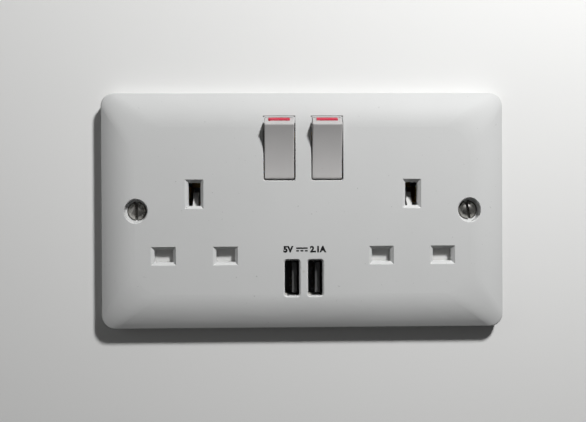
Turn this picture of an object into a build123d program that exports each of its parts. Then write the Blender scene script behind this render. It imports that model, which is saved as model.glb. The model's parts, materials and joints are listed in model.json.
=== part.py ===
from build123d import *
import math
import os

os.makedirs("parts", exist_ok=True)

# frame: +X right, +Z up, +Y into the wall, wall face at Y = 0, all in mm

# front plate
plate_width = 147.0
plate_height = 86.0
plate_corner = 4.8
plate_depth = 9.5
skin = 2.6
pillow_radius = 22.7
pillow_turn = 35.0
pillow_corner_growth = 4.6
rim_edge_radius = 0.8
face_y = -plate_depth
ceiling_y = face_y + skin
pillow_width = pillow_radius * math.sin(math.radians(pillow_turn))
pillow_drop = pillow_radius * (1 - math.cos(math.radians(pillow_turn)))
rim_y = face_y + pillow_drop
flat_width = plate_width - 2 * pillow_width
flat_height = plate_height - 2 * pillow_width

# fixing screws
fixing_centres = 120.6
fixing_thread_radius = 1.75
fixing_neck_radius = 1.5
fixing_head_radius = 3.45
fixing_mouth_radius = 4.15
fixing_mouth_bevel = 0.4
fixing_hole_radius = 2.0
fixing_seat_y = -6.2
fixing_tip_y = 18.8
fixing_slot_width = 1.0
fixing_slot_depth = 1.4
fixing_boss_radius = 4.5
fixing_thread_start_y = -0.07

# ribs and bosses behind the plate's face
root = 0.2
rib = 1.2
edge_rib_x = (22.0, 46.0)
edge_rib_length = 4.4
edge_rib_inset = 1.7
boss_rib_y = face_y + 3.2
rib_end_y = -1.5

# pin openings
socket_x = 39.25
live_pin_x = 11.1
live_pin_z = -16.2
earth_pin_z = 6.0
live_opening = (6.8, 4.5)
earth_opening = (4.5, 8.4)
opening_bevel = 1.1
opening_corner = 0.25
opening_depth = 5.0
socket_pad = 0.7
pad_y = ceiling_y + socket_pad
live_pin_height = 4.0
earth_pin_width = 4.0

# rocker switches
rocker_x = 8.62
pivot_z = 22.5
pivot_y = -5.6
switch_opening = (11.4, 23.2)
switch_opening_corner = 0.85
switch_lip = 1.0
switch_relief = 1.0
switch_edge = 0.25
switch_skin = 1.8
switch_y = face_y + switch_skin
rocker_width = 10.7
rocker_tilt = 13.3
rocker_sweep = 11.58
rocker_peak_angle = 30.3
rocker_corner_angle = 3.6
rocker_skirt_angle = -8.0
rocker_hollow = 1.1
rocker_wall = 1.3
rocker_skin = 1.6
rocker_tip_round = 0.7
rocker_side_round = 0.4
pivot_radius = 1.0
pivot_length = 1.45
pivot_clearance = 0.06
side_clearance = 0.4
lug_thickness = 1.6
lug_height = 4.4
lug_front_y = -7.4
lug_reach = rocker_x + rocker_width / 2 + side_clearance + lug_thickness
switch_bay = (2 * lug_reach + 2.9, switch_opening[1] + 2 * switch_relief + 0.2)
mark_size = (7.6, 1.75)
mark_from_corner = 1.95
mark_depth = 0.4

# plunger in the rocker's stem
stem_radius = 2.4
stem_end = -5.4
stem_bore_end = 3.2
plunger_radius = 1.3
plunger_clearance = 0.07
plunger_tip_centre = -6.9
plunger_top = -2.0
plunger_nose_radius = 0.75
plunger_nose_length = 0.9
coil_wire = 0.32

# see-saw contact under each plunger
seesaw_z = pivot_z
seesaw_y = 4.05
seesaw_tilt = 9.0
seesaw_front = -1.3
seesaw_thickness = 0.8
seesaw_arm = 8.3
seesaw_tail = -4.6
seesaw_width = 4.6
contact_arm = 6.8
contact_tip_radius = 1.3
contact_tip_height = 0.8
contact_gap_closed = 0.05
fulcrum_radius = 0.4
fulcrum_width = 3.9
ear_width = 3.0
ear_height = 2.5
ear_thickness = 0.5
ear_gap = 0.25

# shutters
shutter_front_y = pad_y + 0.3
shutter_thickness = 1.8
shutter_back_y = shutter_front_y + shutter_thickness
shutter_half_width = 15.2
shutter_travel = 5.4
shutter_top_z = live_pin_z + live_opening[1] / 2 + 0.5
shutter_bottom_z = live_pin_z - live_opening[1] / 2 - 1.1
shutter_stem_width = 5.2
shutter_stem_top_z = earth_pin_z - 4.8
shutter_guide_gap = 0.4
guide_thickness = 1.0
guide_x = shutter_half_width + shutter_guide_gap + guide_thickness / 2
guide_top_z = shutter_top_z + 0.8
guide_bottom_z = shutter_bottom_z - shutter_travel - 0.9
pad_half_width = guide_x + 0.5
ramp_width = 2.0
ramp_top_z = earth_pin_z + 0.8
ramp_deep_y = -1.4
ramp_thickness = 0.9
shutter_hole = (2.6, 3.4)
shutter_hole_x = 5.2
shutter_spring_y = -5.2
shutter_spring_radius = 1.3
shutter_spring_wire = 0.35
shutter_peg_radius = 0.6
shutter_seat_z = shutter_bottom_z - 9.3

# charger board
board_width = 33.2
board_top_z = 8.0
board_front_y = 7.5
board_thickness = 1.6
board_back_y = board_front_y + board_thickness
board_gap = 0.3
board_screw_x = 13.5
board_screw_z = 4.8
board_post_z = (board_screw_z, -21.0)
board_post_radius = 2.2

# rear housing
housing_side_gap = 0.3
housing_width = fixing_centres - 2 * (fixing_boss_radius + housing_side_gap)
housing_height = 65.6
housing_wall = 1.6
housing_corner = 3.0
housing_edge = 1.0
housing_front_y = pad_y + 0.3
housing_back_y = 16.5
floor_y = 14.5
inner_x = housing_width / 2 - housing_wall
inner_z = housing_height / 2 - housing_wall
board_bottom_z = board_gap - inner_z
ledge_y = shutter_back_y + 0.3
screw_pillar_radius = 2.8
screw_boss_radius = 2.4
screw_boss_end_y = -1.2
screw_shank_radius = 1.1
screw_head_radius = 2.6
lower_screw_x = board_width / 2 + 0.2 + screw_pillar_radius
outer_screw_x = housing_width / 2 - housing_wall - screw_pillar_radius - 0.6
housing_screws = [(20.0, 24.2), (lower_screw_x, -18.0), (outer_screw_x, 27.5)]
clip_rib_x = 5.2
divider_x = 15.6
socket_rib_z = (-24.2, 10.4)
clip_shelf_z = -7.9
clip_shelf_width = 11.0
charger_wall_x = board_width / 2 + 0.4 + rib / 2
charger_wall_z = (-24.4, board_top_z + 1.8)

# conductors
strip = 0.8
bar_y = floor_y - strip
earth_bar_y = 10.0
clip_front_y = -2.4
clip_width = 4.4
clip_slack = 0.1
live_gap = live_pin_height / 2 + clip_slack
earth_gap = earth_pin_width / 2 + clip_slack
live_foot = 2.9
earth_clip_front_y = 0.4
line_row_z = (15.6, 19.4)
line_bar_z = (27.5, 30.8)
line_bar_x = (-11.0, 33.0)
neutral_bar_z = (-29.2, -25.2)
earth_bar_z = (11.0, 14.4)
fixed_contact_width = 3.6
fixed_contact_length = 1.6
terminal_width = 8.5
terminal_height = 9.0
terminal_depth = 9.0
terminal_bore_radius = 2.7
terminal_bore_depth = 5.1
terminal_end_wall = 1.2
terminal_screw_radius = 1.95
terminal_row_z = 26.6
line_terminal = (29.0, terminal_row_z)
neutral_terminal = (-socket_x, -terminal_row_z)
earth_terminal = (40.0, terminal_row_z)
wire_window = (6.8, 6.4)
wire_window_corner = 1.2

# charging ports
port_x = 4.21
port_z = -24.35
port_opening = (5.3, 12.9)
port_corner = 0.8
port_bevel = 0.5
shell_inner = (5.12, 12.5)
shell_wall = 0.3
shell_front_y = ceiling_y + 0.2
shell_slot = (1.2, 0.4)
shell_slot_x = 2.4
shell_slot_rows = (-4.1, -2.3, 2.3, 4.1)
tongue_left = 0.05
tongue_thickness = 1.84
tongue_height = 11.1
tongue_front_y = -5.4
tongue_root_y = 5.0
tongue_edge = 0.2
contact_rows = (-3.5, -1.0, 1.0, 3.5)
contact_width = 1.0
contact_proud = 0.05
contact_sunk = 0.28

# parts on the charger board: (x, z) or (x, z, radius, height)
transformer_centre = (8.5, -6.0)
transformer_core_size = (13.0, 12.0)
transformer_front_y = -0.9
transformer_back_y = 6.3
winding_size = (9.2, 13.6)
winding_front_y = 0.8
winding_back_y = 4.6
bobbin_foot_z = 7.6
input_capacitor = (-9.2, -1.6, 4.0, 10.0)
output_capacitor = (-9.6, -11.6, 3.15, 8.0)
film_capacitor_size = (4.4, 9.0)
film_capacitor_place = (-0.8, -10.6)
film_capacitor_front_y = 0.6
controller_place = (-1.7, 0.4)
controller_size = (4.0, 5.0)
feed_wire_radius = 0.65
feed_wire_bend = 1.4
feed_wire_z = 29.2
feed_hole_z = 5.6
neutral_feed = (-10.0, -27.2)


def at_depth(y):
    return Plane.XZ.offset(-y)


def block(x, z, width, height, front_y, back_y, corner=0.0, mode=Mode.ADD):
    with BuildSketch(at_depth(back_y)) as outline:
        with Locations((x, z)):
            if corner:
                RectangleRounded(width, height, corner)
            else:
                Rectangle(width, height)
    extrude(to_extrude=outline.sketch, amount=back_y - front_y, mode=mode)


def span(x0, x1, z0, z1, front_y, back_y, mode=Mode.ADD):
    block((x0 + x1) / 2, (z0 + z1) / 2, x1 - x0, z1 - z0, front_y, back_y, mode=mode)


def peg(x, z, radius, front_y, back_y, mode=Mode.ADD):
    with BuildSketch(at_depth(back_y)) as outline:
        with Locations((x, z)):
            Circle(radius)
    extrude(to_extrude=outline.sketch, amount=back_y - front_y, mode=mode)


def cross_bore(x, y, z0, z1, radius, mode=Mode.SUBTRACT):
    with BuildSketch(Plane.XY.offset(z0)) as outline:
        with Locations((x, y)):
            Circle(radius)
    extrude(to_extrude=outline.sketch, amount=z1 - z0, mode=mode)


def wall_window(x, y, z0, z1):
    with BuildSketch(Plane.XY.offset(z0)) as outline:
        with Locations((x, y)):
            RectangleRounded(*wire_window, wire_window_corner)
    extrude(to_extrude=outline.sketch, amount=z1 - z0, mode=Mode.SUBTRACT)


def side_profile(x, points, width, mode=Mode.ADD):
    with BuildSketch(Plane.YZ.offset(x)) as outline:
        Polygon(*points, align=None)
    extrude(to_extrude=outline.sketch, amount=width / 2, both=True, mode=mode)


def pillow(wall, turn, mode):
    sections = []
    steps = 6
    for step in range(steps + 1):
        angle = math.radians(turn * (steps - step) / steps)
        spread = (pillow_radius - wall) * math.sin(angle)
        drop = wall + (pillow_radius - wall) * (1 - math.cos(angle))
        growth = pillow_corner_growth * step / steps
        with BuildSketch(at_depth(face_y + drop)) as section:
            RectangleRounded(
                flat_width + 2 * spread,
                flat_height + 2 * spread,
                plate_corner - 0.8 * wall + growth,
            )
        sections.append(section.sketch)
    loft(sections=sections, mode=mode)
    return sections[0].bounding_box().min.Y


def bevelled_opening(x, z, size, bevel, corner, mitred=False):
    width, height = size[0] + 2 * bevel, size[1] + 2 * bevel
    with BuildSketch(at_depth(face_y)) as mouth:
        with Locations((x, z)):
            if mitred:
                Rectangle(width, height)
            else:
                RectangleRounded(width, height, corner + bevel)
    extrude(to_extrude=mouth.sketch, amount=-bevel, taper=45, mode=Mode.SUBTRACT)
    back_y = face_y + opening_depth
    block(x, z, size[0], size[1], face_y - 0.5, back_y, corner, mode=Mode.SUBTRACT)


# one moulding: rim, pillow-shaped face, bosses and ribs behind it
with BuildPart() as front_plate:
    block(0, 0, plate_width, plate_height, rim_y, 0, plate_corner)
    pillow(0.0, pillow_turn, Mode.ADD)
    rim_edges = front_plate.edges().filter_by_position(Axis.Y, rim_y - 0.01, rim_y + 0.01)
    fillet(rim_edges, rim_edge_radius)
    inner_turn = math.degrees(math.asin((pillow_width - skin) / (pillow_radius - skin)))
    cavity_y = pillow(skin, inner_turn, Mode.SUBTRACT)
    block(
        0,
        0,
        plate_width - 2 * skin,
        plate_height - 2 * skin,
        cavity_y,
        0,
        plate_corner - 0.8 * skin,
        mode=Mode.SUBTRACT,
    )
    for side in (-1, 1):
        screw_x = side * fixing_centres / 2
        peg(screw_x, 0, fixing_boss_radius, face_y + 1.5, 0)
        wall_x = side * (plate_width / 2 - skin + 0.7)
        rib_left, rib_right = sorted((screw_x + side * 0.7 * fixing_boss_radius, wall_x))
        span(rib_left, rib_right, -0.7, 0.7, boss_rib_y, rib_end_y)
        for rib_x in edge_rib_x:
            for end in (-1, 1):
                rib_z = end * (plate_height / 2 - skin - edge_rib_inset)
                block(side * rib_x, rib_z, rib, edge_rib_length, -6.0, rib_end_y)
        centre_x = side * socket_x
        span(
            centre_x - pad_half_width,
            centre_x + pad_half_width,
            shutter_bottom_z - root,
            earth_pin_z + earth_opening[1] / 2 + 2,
            ceiling_y - root,
            pad_y,
        )
        for guide in (-1, 1):
            left = centre_x + guide * guide_x - guide_thickness / 2
            right = left + guide_thickness
            span(left, right, guide_bottom_z, guide_top_z, ceiling_y - root, ledge_y - 0.4)
        span(
            centre_x - 3,
            centre_x + 3,
            shutter_seat_z - rib,
            shutter_seat_z,
            ceiling_y - root,
            shutter_spring_y + shutter_spring_radius,
        )
        for boss_x, boss_z in housing_screws:
            peg(side * boss_x, boss_z, screw_boss_radius, ceiling_y - root, screw_boss_end_y)
            hole_y = ceiling_y + 0.3
            hole_radius = screw_shank_radius + 0.05
            peg(side * boss_x, boss_z, hole_radius, hole_y, screw_boss_end_y, Mode.SUBTRACT)
    for side in (-1, 1):
        screw_x = side * fixing_centres / 2
        with BuildSketch(at_depth(face_y)) as mouth:
            with Locations((screw_x, 0)):
                Circle(fixing_mouth_radius + fixing_mouth_bevel)
        bevel = fixing_mouth_bevel + 0.02
        extrude(to_extrude=mouth.sketch, amount=-bevel, taper=45, mode=Mode.SUBTRACT)
        peg(screw_x, 0, fixing_mouth_radius, face_y - 1, fixing_seat_y, Mode.SUBTRACT)
        peg(screw_x, 0, fixing_hole_radius, face_y - 1, 0, Mode.SUBTRACT)
        seat_radius = fixing_head_radius + 0.15
        with BuildSketch(at_depth(fixing_seat_y)) as seat:
            with Locations((screw_x, 0)):
                Circle(seat_radius)
        seat_depth = seat_radius - fixing_hole_radius - 0.05
        extrude(to_extrude=seat.sketch, amount=-seat_depth, taper=45, mode=Mode.SUBTRACT)
        for pin in (-1, 1):
            pin_x = side * socket_x + pin * live_pin_x
            pin_hole = (pin_x, live_pin_z, live_opening)
            bevelled_opening(*pin_hole, opening_bevel, opening_corner, mitred=True)
        earth_hole = (side * socket_x, earth_pin_z, earth_opening)
        bevelled_opening(*earth_hole, opening_bevel, opening_corner, mitred=True)
        bevelled_opening(side * port_x, port_z, port_opening, port_bevel, port_corner)
    block(0, pivot_z, *switch_bay, switch_y, ceiling_y + 0.5, 1.0, mode=Mode.SUBTRACT)
    for side in (-1, 1):
        switch_x = side * rocker_x
        bevelled_opening(switch_x, pivot_z, switch_opening, switch_edge, switch_opening_corner)
        block(
            switch_x,
            pivot_z,
            switch_opening[0],
            switch_opening[1] + 2 * switch_relief,
            face_y + switch_lip,
            face_y + opening_depth,
            switch_opening_corner,
            mode=Mode.SUBTRACT,
        )

# moulded tub with its floor away from the room
with BuildPart() as rear_housing:
    block(0, 0, housing_width, housing_height, housing_front_y, housing_back_y, housing_corner)
    back_edges = rear_housing.edges().filter_by_position(
        Axis.Y, housing_back_y - 0.01, housing_back_y + 0.01
    )
    chamfer(back_edges, housing_edge)
    block(0, 0, 2 * inner_x, 2 * inner_z, housing_front_y, floor_y, 1.4, mode=Mode.SUBTRACT)
    for side in (-1, 1):
        centre_x = side * socket_x
        for rib_x in (-clip_rib_x, clip_rib_x, -side * divider_x):
            rib_left = centre_x + rib_x - rib / 2
            span(rib_left, rib_left + rib, *socket_rib_z, ledge_y, floor_y)
        wall_x = side * (housing_width - housing_wall) / 2
        notch_bottom, notch_top = guide_bottom_z - 0.7, guide_top_z + 0.6
        span(
            wall_x - housing_wall,
            wall_x + housing_wall,
            notch_bottom,
            notch_top,
            housing_front_y - 1,
            ledge_y,
            mode=Mode.SUBTRACT,
        )
        shelf_x = centre_x - live_pin_x + 0.75
        block(shelf_x, clip_shelf_z, clip_shelf_width, rib, ledge_y, floor_y)
        wall_left = side * charger_wall_x - rib / 2
        span(wall_left, wall_left + rib, *charger_wall_z, ledge_y, floor_y)
        for post_z in board_post_z:
            peg(side * board_screw_x, post_z, board_post_radius, board_back_y, floor_y)
        pillar_y = screw_boss_end_y + 0.3
        relief_radius = screw_boss_radius + 0.3
        for screw_x, screw_z in housing_screws:
            screw_x *= side
            peg(screw_x, screw_z, relief_radius, ledge_y - 1, pillar_y, Mode.SUBTRACT)
            peg(screw_x, screw_z, screw_pillar_radius, pillar_y, floor_y)
        earth_x = side * earth_terminal[0]
        earth_step_y = earth_bar_y + strip
        block(earth_x, terminal_row_z, terminal_width, 8.4, earth_step_y, floor_y)
        for lug_side in (-1, 1):
            lug_x = side * rocker_x + lug_side * (
                rocker_width / 2 + side_clearance + lug_thickness / 2
            )
            block(lug_x, pivot_z, lug_thickness, lug_height, lug_front_y, floor_y)
    charger_left = -charger_wall_x - rib / 2
    span(charger_left, -charger_left, board_top_z + 0.6, charger_wall_z[1], ledge_y, floor_y)
    block(0, sum(earth_bar_z) / 2, 5.0, 3.0, earth_bar_y + strip, floor_y)
    block(0, board_top_z, 2.6, 5.0, ledge_y - 1, 8.0, mode=Mode.SUBTRACT)
    switch_wall_z = inner_z + housing_wall / 2
    block(0, switch_wall_z, switch_bay[0], 6.0, housing_front_y - 1, 0.8, mode=Mode.SUBTRACT)
    with BuildSketch(Plane.YZ) as pivot_bore:
        with Locations((pivot_y, pivot_z)):
            Circle(pivot_radius + pivot_clearance)
    extrude(to_extrude=pivot_bore.sketch, amount=lug_reach + 1, both=True, mode=Mode.SUBTRACT)
    for side in (-1, 1):
        for screw_x, screw_z in housing_screws:
            peg(side * screw_x, screw_z, 1.6, -4, housing_back_y + 1, Mode.SUBTRACT)
        peg(side * board_screw_x, board_screw_z, 0.9, 8, floor_y - 0.6, Mode.SUBTRACT)
    earth_left = (-earth_terminal[0], earth_terminal[1])
    for hole_x, hole_z in [line_terminal, neutral_terminal, earth_left, earth_terminal]:
        peg(hole_x, hole_z, 3.1, earth_bar_y, housing_back_y + 1, Mode.SUBTRACT)
    wire_y = bar_y - terminal_bore_depth
    earth_wire_y = earth_bar_y - terminal_bore_depth
    wall_window(line_terminal[0], wire_y, inner_z - 0.5, inner_z + 4)
    wall_window(neutral_terminal[0], wire_y, -inner_z - 4, -inner_z + 0.5)
    for side in (-1, 1):
        wall_window(side * earth_terminal[0], earth_wire_y, inner_z - 0.5, inner_z + 4)


def rocker_plane(x):
    tilt = math.radians(rocker_tilt)
    return Plane(
        origin=(x, pivot_y, pivot_z),
        x_dir=(0, -math.sin(tilt), math.cos(tilt)),
        z_dir=(1, 0, 0),
    )


def polar(radius, degrees):
    angle = math.radians(degrees)
    return (radius * math.cos(angle), radius * math.sin(angle))


def mirrored(point):
    return (-point[0], point[1])


peak = polar(rocker_sweep, rocker_peak_angle)
corner = polar(rocker_sweep, rocker_corner_angle)
skirt = polar(rocker_sweep, rocker_skirt_angle)
side_mid = polar(rocker_sweep, (rocker_corner_angle + rocker_skirt_angle) / 2)
face_mid = (0, peak[1] - rocker_hollow)
facet_turn = math.degrees(math.atan2(peak[1] - corner[1], corner[0] - peak[0]))


def facet_plane(x):
    home = rocker_plane(x)
    slope = (Vector(*peak) - Vector(*corner)).normalized()
    along = home.x_dir * slope.X + home.y_dir * slope.Y
    return Plane(
        origin=home.from_local_coords(Vector(*corner)),
        x_dir=(1, 0, 0),
        z_dir=Vector(1, 0, 0).cross(along),
    )


def stem_plane(x, distance):
    home = rocker_plane(x)
    return Plane(
        origin=home.origin + home.y_dir * distance,
        x_dir=(1, 0, 0),
        z_dir=home.y_dir,
    )


def build_rocker(x):
    with BuildPart() as rocker:
        with BuildSketch(rocker_plane(x)) as side_view:
            with BuildLine():
                ThreePointArc(mirrored(peak), face_mid, peak)
                Line(peak, corner)
                ThreePointArc(corner, side_mid, skirt)
                Line(skirt, mirrored(skirt))
                ThreePointArc(mirrored(skirt), mirrored(side_mid), mirrored(corner))
                Line(mirrored(corner), mirrored(peak))
            make_face()
            fillet(side_view.vertices().group_by(Axis.Y)[-1], rocker_tip_round)
        extrude(amount=rocker_width / 2, both=True)
        for face_side in (-1, 1):
            side_face = rocker.faces().sort_by(Axis.X)[0 if face_side < 0 else -1]
            round_edges = side_face.edges().filter_by(
                lambda edge: rocker_plane(x).to_local_coords(edge).center().Y > skirt[1] + root
            )
            fillet(round_edges, rocker_side_round)
        roof_y = face_mid[1] - rocker_skin
        with BuildSketch(rocker_plane(x)) as hollow:
            Polygon(
                (-10.0, skirt[1] - 1),
                (-10.0, 1.2),
                (-8.2, roof_y + 0.4),
                (0, roof_y),
                (8.2, roof_y + 0.4),
                (10.0, 1.2),
                (10.0, skirt[1] - 1),
                align=None,
            )
        extrude(amount=rocker_width / 2 - rocker_wall, both=True, mode=Mode.SUBTRACT)
        with BuildSketch(stem_plane(x, stem_end)):
            Circle(stem_radius)
        extrude(amount=roof_y + 0.3 - stem_end)
        with BuildSketch(stem_plane(x, stem_end)):
            Circle(plunger_radius + plunger_clearance)
        extrude(amount=stem_bore_end - stem_end, mode=Mode.SUBTRACT)
        for pin_side in (-1, 1):
            start = x + pin_side * (rocker_width / 2 - root)
            with BuildSketch(Plane.YZ.offset(start)):
                with Locations((pivot_y, pivot_z)):
                    Circle(pivot_radius)
            extrude(amount=pin_side * (pivot_length + root))
        with BuildSketch(facet_plane(x)):
            with Locations((0, mark_from_corner)):
                Rectangle(*mark_size)
        extrude(amount=-mark_depth, mode=Mode.SUBTRACT)
    return rocker.part


def build_mark(x):
    with BuildPart() as mark:
        with BuildSketch(facet_plane(x).offset(-mark_depth)):
            with Locations((0, mark_from_corner)):
                Rectangle(mark_size[0] - 0.02, mark_size[1] - 0.02)
        extrude(amount=mark_depth)
    return mark.part


def build_plunger(x):
    with BuildPart() as plunger:
        with BuildSketch(stem_plane(x, plunger_tip_centre)):
            Circle(plunger_radius)
        extrude(amount=plunger_top - plunger_tip_centre)
        with BuildSketch(stem_plane(x, plunger_top)):
            Circle(plunger_nose_radius)
        extrude(amount=plunger_nose_length)
        tip = stem_plane(x, plunger_tip_centre)
        with Locations(tip.location):
            Sphere(plunger_radius)
    return plunger.part


def coil(plane, radius, wire, pitch, height):
    with BuildPart() as spring:
        with BuildLine() as path:
            Helix(
                pitch=pitch,
                height=height,
                radius=radius,
                center=plane.origin,
                direction=plane.z_dir,
            )
        with BuildSketch(Plane(origin=path.line @ 0, z_dir=path.line % 0)):
            Circle(wire / 2)
        sweep()
    return spring.part


def build_plunger_spring(x):
    low = plunger_top + coil_wire / 2 + 0.02
    height = stem_bore_end - coil_wire / 2 - 0.02 - low
    radius = plunger_radius - coil_wire / 2 - 0.05
    return coil(stem_plane(x, low), radius, coil_wire, height / 6, height)


def seesaw_plane(x):
    tilt = math.radians(seesaw_tilt)
    return Plane(
        origin=(x, seesaw_y, seesaw_z),
        x_dir=(0, math.sin(tilt), math.cos(tilt)),
        z_dir=(1, 0, 0),
    )


def build_seesaw(x):
    back = seesaw_front + seesaw_thickness
    home = seesaw_plane(x)
    with BuildPart() as seesaw:
        with BuildSketch(home):
            with Locations(((seesaw_arm + seesaw_tail) / 2, -(seesaw_front + back) / 2)):
                Rectangle(seesaw_arm - seesaw_tail, seesaw_thickness)
        extrude(amount=seesaw_width / 2, both=True)
        for ear in (-1, 1):
            ear_x = ear * (seesaw_width / 2 + ear_gap + ear_thickness / 2)
            with BuildSketch(home.offset(ear_x)):
                with Locations((0, -seesaw_front - ear_height / 2)):
                    Rectangle(ear_width, ear_height)
            extrude(amount=ear_thickness / 2, both=True)
            with BuildSketch(home.offset(ear * (seesaw_width / 2 + root))):
                with Locations((0, -(seesaw_front + back) / 2)):
                    Rectangle(ear_width, seesaw_thickness)
            extrude(amount=root + ear_gap - 0.05, both=True)
        tip = Plane(
            origin=home.from_local_coords(Vector(contact_arm, -back)),
            x_dir=(1, 0, 0),
            z_dir=home.y_dir * -1,
        )
        with BuildSketch(tip):
            Circle(contact_tip_radius)
        extrude(amount=contact_tip_height)
    return seesaw.part


def tip_face_plane(x):
    home = seesaw_plane(x)
    reach = seesaw_front + seesaw_thickness + contact_tip_height + contact_gap_closed
    return Plane(
        origin=home.from_local_coords(Vector(contact_arm, -reach)),
        x_dir=(1, 0, 0),
        z_dir=home.y_dir * -1,
    )


def grip(x, z, y_front, y_back, half_gap, width, upright):
    for leaf in (-1, 1):
        points = [
            (y_front, leaf * (half_gap + 1.0)),
            (y_front + 1.8, leaf * half_gap),
            (y_back, leaf * half_gap),
            (y_back, leaf * (half_gap + strip)),
            (y_front + 2.1, leaf * (half_gap + strip)),
            (y_front + 0.4, leaf * (half_gap + strip + 1.0)),
        ]
        if upright:
            with BuildSketch(Plane.YZ.offset(x)) as outline:
                Polygon(*[(y, z + across) for y, across in points], align=None)
        else:
            with BuildSketch(Plane.XY.offset(z)) as outline:
                Polygon(*[(x + across, y) for y, across in points], align=None)
        extrude(to_extrude=outline.sketch, amount=width / 2, both=True)


def live_clip(x):
    block(x, live_pin_z, clip_width, 2 * (live_gap + strip), bar_y, floor_y)
    grip(x, live_pin_z, clip_front_y, floor_y, live_gap, clip_width, True)


def build_line_out(side):
    switch_x = side * rocker_x
    clip_x = side * socket_x + live_pin_x
    half_clip = clip_width / 2
    with BuildPart() as conductor:
        far = clip_x + side * half_clip
        near = switch_x - side * seesaw_width / 2
        span(min(far, near), max(far, near), *line_row_z, bar_y, floor_y)
        span(
            switch_x - seesaw_width / 2,
            switch_x + seesaw_width / 2,
            line_row_z[0],
            seesaw_z + 3.1,
            bar_y,
            floor_y,
        )
        side_profile(
            switch_x,
            [
                (floor_y, seesaw_z - fulcrum_radius),
                (seesaw_y, seesaw_z - fulcrum_radius),
                (seesaw_y, seesaw_z + fulcrum_radius),
                (floor_y, seesaw_z + fulcrum_radius),
            ],
            fulcrum_width,
        )
        with BuildSketch(Plane.YZ.offset(switch_x)) as edge:
            with Locations((seesaw_y, seesaw_z)):
                Circle(fulcrum_radius)
        extrude(to_extrude=edge.sketch, amount=fulcrum_width / 2, both=True)
        foot_z = live_pin_z - live_foot
        span(clip_x - half_clip, clip_x + half_clip, foot_z, line_row_z[1], bar_y, floor_y)
        live_clip(clip_x)
    return conductor.part


def screw_tab(x, z, width, back_y):
    block(x, z, width, 8.4, back_y - strip, back_y)
    screw_hole(x, z, back_y)


def screw_hole(x, z, back_y):
    radius = terminal_screw_radius + 0.3
    peg(x, z, radius, back_y - strip - 1, back_y + 1, Mode.SUBTRACT)


def build_line_bar():
    top_z = line_bar_z[1]
    with BuildPart() as conductor:
        span(*line_bar_x, *line_bar_z, bar_y, floor_y)
        screw_tab(*line_terminal, 8.0, floor_y)
        for side in (-1, 1):
            face = tip_face_plane(side * rocker_x)
            head_y = face.origin.Y + 1.2
            side_profile(
                side * rocker_x,
                [
                    (floor_y, top_z - strip),
                    (head_y + strip, top_z - strip),
                    (head_y + strip, line_bar_z[0] + 0.1),
                    (head_y, line_bar_z[0] + 0.1),
                    (head_y, top_z),
                    (floor_y, top_z),
                ],
                fixed_contact_width,
            )
            with BuildSketch(face):
                Circle(contact_tip_radius)
            extrude(amount=fixed_contact_length)
    return conductor.part


def build_neutral_bar():
    clips = [-socket_x - live_pin_x, socket_x - live_pin_x]
    half_clip = clip_width / 2
    with BuildPart() as conductor:
        left, right = clips[0] - half_clip, clips[1] + half_clip
        span(left, right, *neutral_bar_z, bar_y, floor_y)
        screw_tab(*neutral_terminal, 8.0, floor_y)
        for clip_x in clips:
            left, right = clip_x - half_clip, clip_x + half_clip
            span(left, right, neutral_bar_z[0] + 2, live_pin_z, bar_y, floor_y)
            live_clip(clip_x)
    return conductor.part


def build_earth_bar():
    back = earth_bar_y + strip
    bar_end = earth_terminal[0] + 3
    pin_hole = (2 * earth_gap, 5.6)
    with BuildPart() as conductor:
        span(-bar_end, bar_end, *earth_bar_z, earth_bar_y, back)
        for side in (-1, 1):
            clip_x = side * socket_x
            half_foot = earth_gap + strip
            span(clip_x - half_foot, clip_x + half_foot, earth_pin_z - 3, 12.0, earth_bar_y, back)
            grip(clip_x, earth_pin_z, earth_clip_front_y, back, earth_gap, 6.0, False)
            hole_z = earth_pin_z + root
            block(clip_x, hole_z, *pin_hole, earth_bar_y - 1, back + 1, mode=Mode.SUBTRACT)
            tower_x = side * earth_terminal[0]
            tower_top = terminal_row_z + 3.8
            span(tower_x - 3, tower_x + 3, earth_bar_z[0] + 2, tower_top, earth_bar_y, back)
            screw_hole(tower_x, terminal_row_z, back)
    return conductor.part


def build_terminal(x, z, base_y):
    outward = math.copysign(1, z)
    inner_end = z - outward * (terminal_height / 2 - terminal_end_wall)
    outer_end = z + outward * (terminal_height / 2 + 1)
    bore_y = base_y - terminal_bore_depth
    with BuildPart() as terminal:
        block(x, z, terminal_width, terminal_height, base_y - terminal_depth, base_y)
        chamfer(terminal.edges().filter_by(Axis.Z), 0.4)
        bore = sorted((inner_end, outer_end))
        cross_bore(x, bore_y, *bore, terminal_bore_radius)
        thread = terminal_screw_radius + 0.05
        peg(x, z, thread, bore_y, base_y + 1, Mode.SUBTRACT)
    return terminal.part


def build_terminal_screw(x, z, base_y):
    tip_y = base_y - terminal_bore_depth + terminal_bore_radius + 0.3
    head_y = housing_back_y - 1.7
    with BuildPart() as screw:
        peg(x, z, terminal_screw_radius, tip_y, head_y)
        peg(x, z, terminal_screw_radius + 0.75, head_y, housing_back_y - 0.1)
        chamfer(screw.edges().filter_by_position(Axis.Y, tip_y - 0.01, tip_y + 0.01), 0.4)
        block(x, z, 6.0, 0.9, housing_back_y - 0.9, housing_back_y + 1, mode=Mode.SUBTRACT)
    return screw.part


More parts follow.
